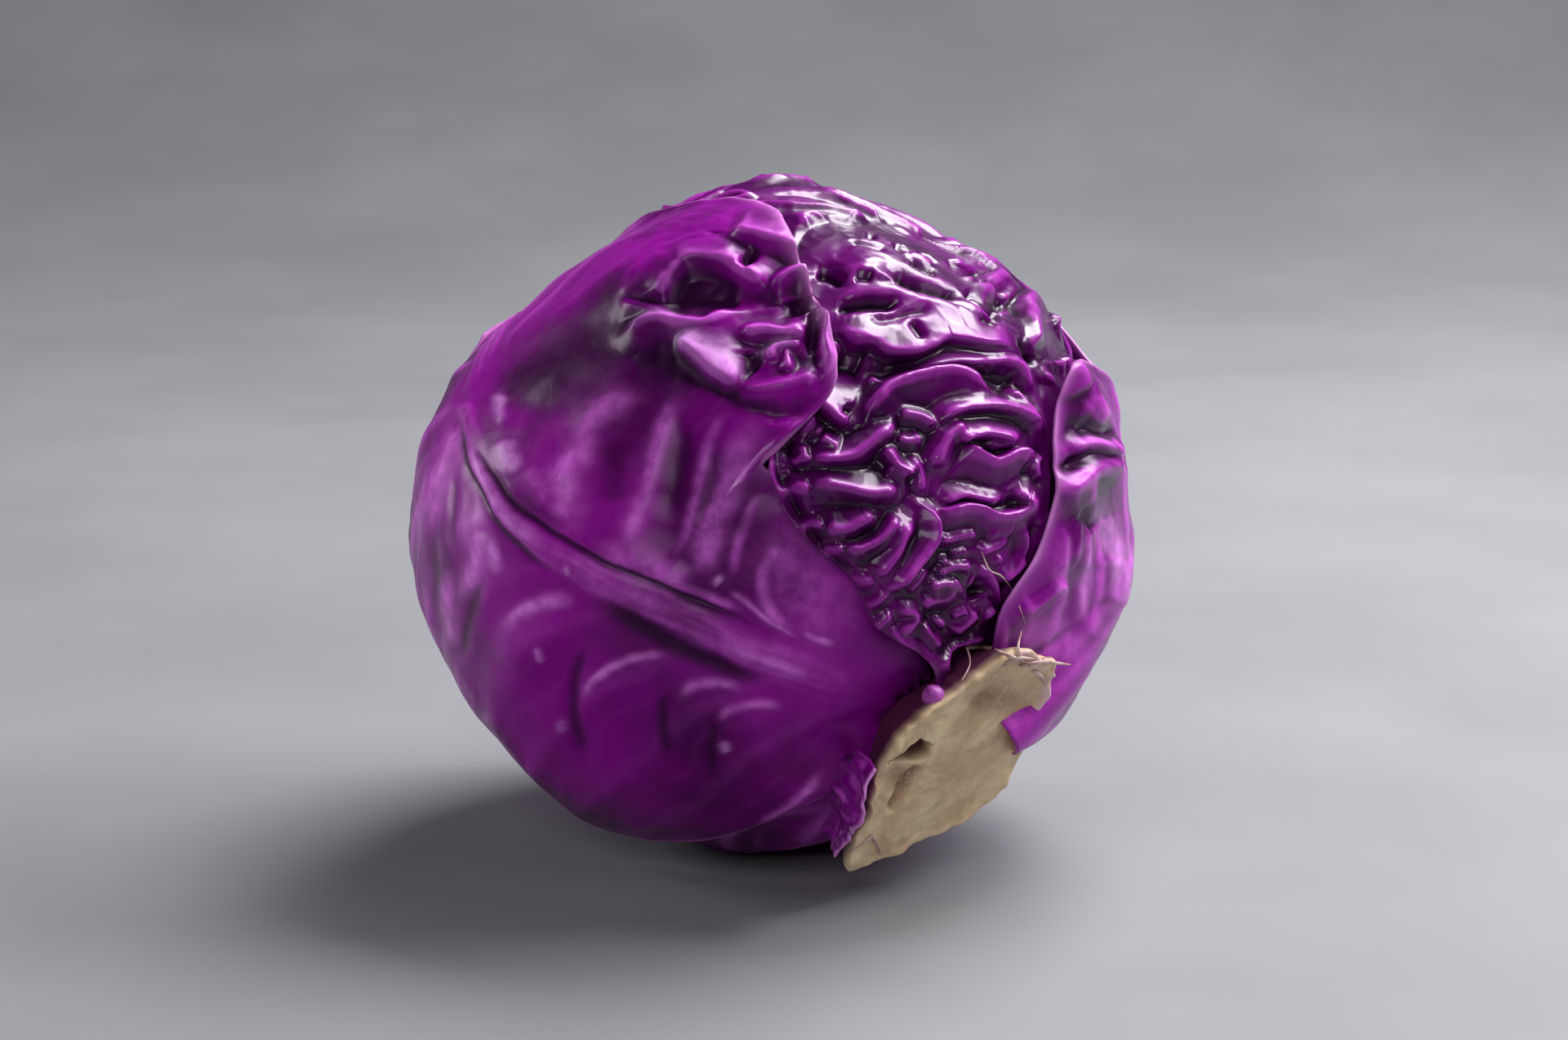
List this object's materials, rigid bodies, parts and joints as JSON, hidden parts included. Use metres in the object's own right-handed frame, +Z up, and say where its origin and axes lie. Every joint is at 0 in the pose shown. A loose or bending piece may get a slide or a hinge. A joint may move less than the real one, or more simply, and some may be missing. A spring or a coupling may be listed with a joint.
{
  "type": "red cabbage head",
  "caption": "Harvested red cabbage head lying on its side: wrapped purple leaves, one crumpled, round a packed heart with a cut stump.",
  "frame": {"origin": "middle of the small flat spot on the underside, straight below the middle of the head", "axes": "+Z up from the surface that the head lies on; the front, with the cut stump at its lower right, faces -Y; +X to the front's right"},
  "size_m": [0.1407, 0.1323, 0.1297],
  "materials": {
    "cut_stalk": "dry, fibrous cut face",
    "packed_heart": "waxy, dull",
    "purple_leaf": "waxy, glossy, paler veins",
    "crinkled_leaf": "waxy, glossy, tightly crumpled"
  },
  "bodies": {
    "root": {"stalk": "cut_stalk", "inner_head": "packed_heart", "leaf_back": "purple_leaf", "leaf_bottom": "purple_leaf", "leaf_left": "purple_leaf", "leaf_front": "purple_leaf", "leaf_crinkled": "crinkled_leaf", "leaf_right": "purple_leaf", "leaf_base_scrap": "purple_leaf"}
  },
  "joints": []
}
